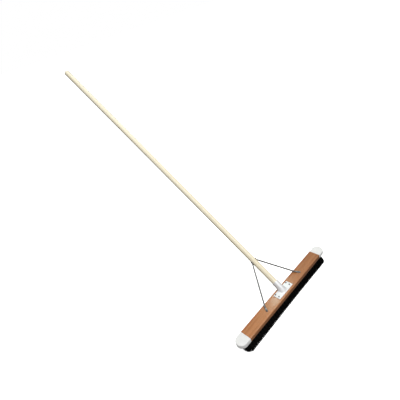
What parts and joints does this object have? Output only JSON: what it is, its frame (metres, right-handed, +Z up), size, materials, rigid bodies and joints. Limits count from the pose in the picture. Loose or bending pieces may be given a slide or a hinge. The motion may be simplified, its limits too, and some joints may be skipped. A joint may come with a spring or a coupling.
{
  "type": "push broom",
  "caption": "Push broom for finishing concrete: wooden stock with end buffers, rows of stiff bristle, angled socket, long round handle and two rod stays.",
  "frame": {"origin": "on the floor, at the bristle tips, under the middle of the stock", "axes": "+X along the stock, -Y the front, +Y the side the handle leans back to, +Z up"},
  "size_m": [0.61, 1.233, 1.0494],
  "materials": {
    "varnished_wood": "brown stained hardwood under glossy varnish",
    "bare_wood": "pale sanded softwood, lightly sealed",
    "white_plastic": "moulded, satin white",
    "black_bristle": "stiff black synthetic bristle",
    "cast_aluminium": "as cast, fine grained",
    "zinc_steel": "bright zinc plated"
  },
  "bodies": {
    "root": {"stock": "varnished_wood", "buffer_left": "white_plastic", "buffer_right": "white_plastic", "buffer_screw_left": "zinc_steel", "buffer_screw_right": "zinc_steel", "handle_bracket": "cast_aluminium", "bracket_screw_front_left": "zinc_steel", "bracket_screw_front_right": "zinc_steel", "bracket_screw_back_left": "zinc_steel", "bracket_screw_back_right": "zinc_steel", "handle": "bare_wood", "handle_screw": "zinc_steel", "stay_left": "zinc_steel", "stay_right": "zinc_steel", "stay_foot_screw_left": "zinc_steel", "stay_foot_screw_right": "zinc_steel", "stay_top_screw_left": "zinc_steel", "stay_top_screw_right": "zinc_steel", "bristle_row_1": "black_bristle", "bristle_row_2": "black_bristle", "bristle_row_3": "black_bristle", "bristle_row_4": "black_bristle", "bristle_row_5": "black_bristle"}
  },
  "joints": []
}
